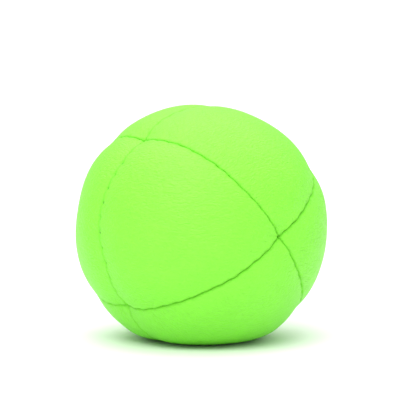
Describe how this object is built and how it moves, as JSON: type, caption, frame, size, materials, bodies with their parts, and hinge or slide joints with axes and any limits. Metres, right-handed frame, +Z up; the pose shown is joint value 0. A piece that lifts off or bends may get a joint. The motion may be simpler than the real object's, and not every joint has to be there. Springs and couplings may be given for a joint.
{
  "type": "juggling ball",
  "caption": "Soft round juggling ball: curved three-sided leather panels, turned in and sewn edge to edge over a seed filling, settled on a flattened base.",
  "frame": {"origin": "middle of the flattened patch that the ball rests on", "axes": "+Z up; -Y towards the side the front pole junction faces, with that junction 50 degrees below +X in plan; +X to the right seen from -Y"},
  "size_m": [0.068, 0.068, 0.0644],
  "materials": {
    "panel_leather": "satin lime green synthetic leather with a fine soft grain",
    "needle_thread": "spun polyester sewing thread, a shade darker than the leather",
    "bobbin_thread": "spun polyester sewing thread",
    "closing_thread": "waxed hand-sewing thread",
    "seed": "dry millet seed"
  },
  "bodies": {
    "root": {"front_left_panel": "panel_leather", "front_top_panel": "panel_leather", "front_right_panel": "panel_leather", "front_bottom_panel": "panel_leather", "back_left_panel": "panel_leather", "back_top_panel": "panel_leather", "back_right_panel": "panel_leather", "back_bottom_panel": "panel_leather", "front_upper_needle_thread": "needle_thread", "front_upper_bobbin_thread": "bobbin_thread", "front_lower_needle_thread": "needle_thread", "front_lower_bobbin_thread": "bobbin_thread", "front_long_needle_thread": "needle_thread", "front_long_bobbin_thread": "bobbin_thread", "back_upper_needle_thread": "needle_thread", "back_upper_bobbin_thread": "bobbin_thread", "back_lower_needle_thread": "needle_thread", "back_lower_bobbin_thread": "bobbin_thread", "back_long_needle_thread": "needle_thread", "back_long_bobbin_thread": "bobbin_thread", "middle_needle_thread": "needle_thread", "middle_bobbin_thread": "bobbin_thread", "closing_thread": "closing_thread", "seed_filling": "seed"}
  },
  "joints": []
}
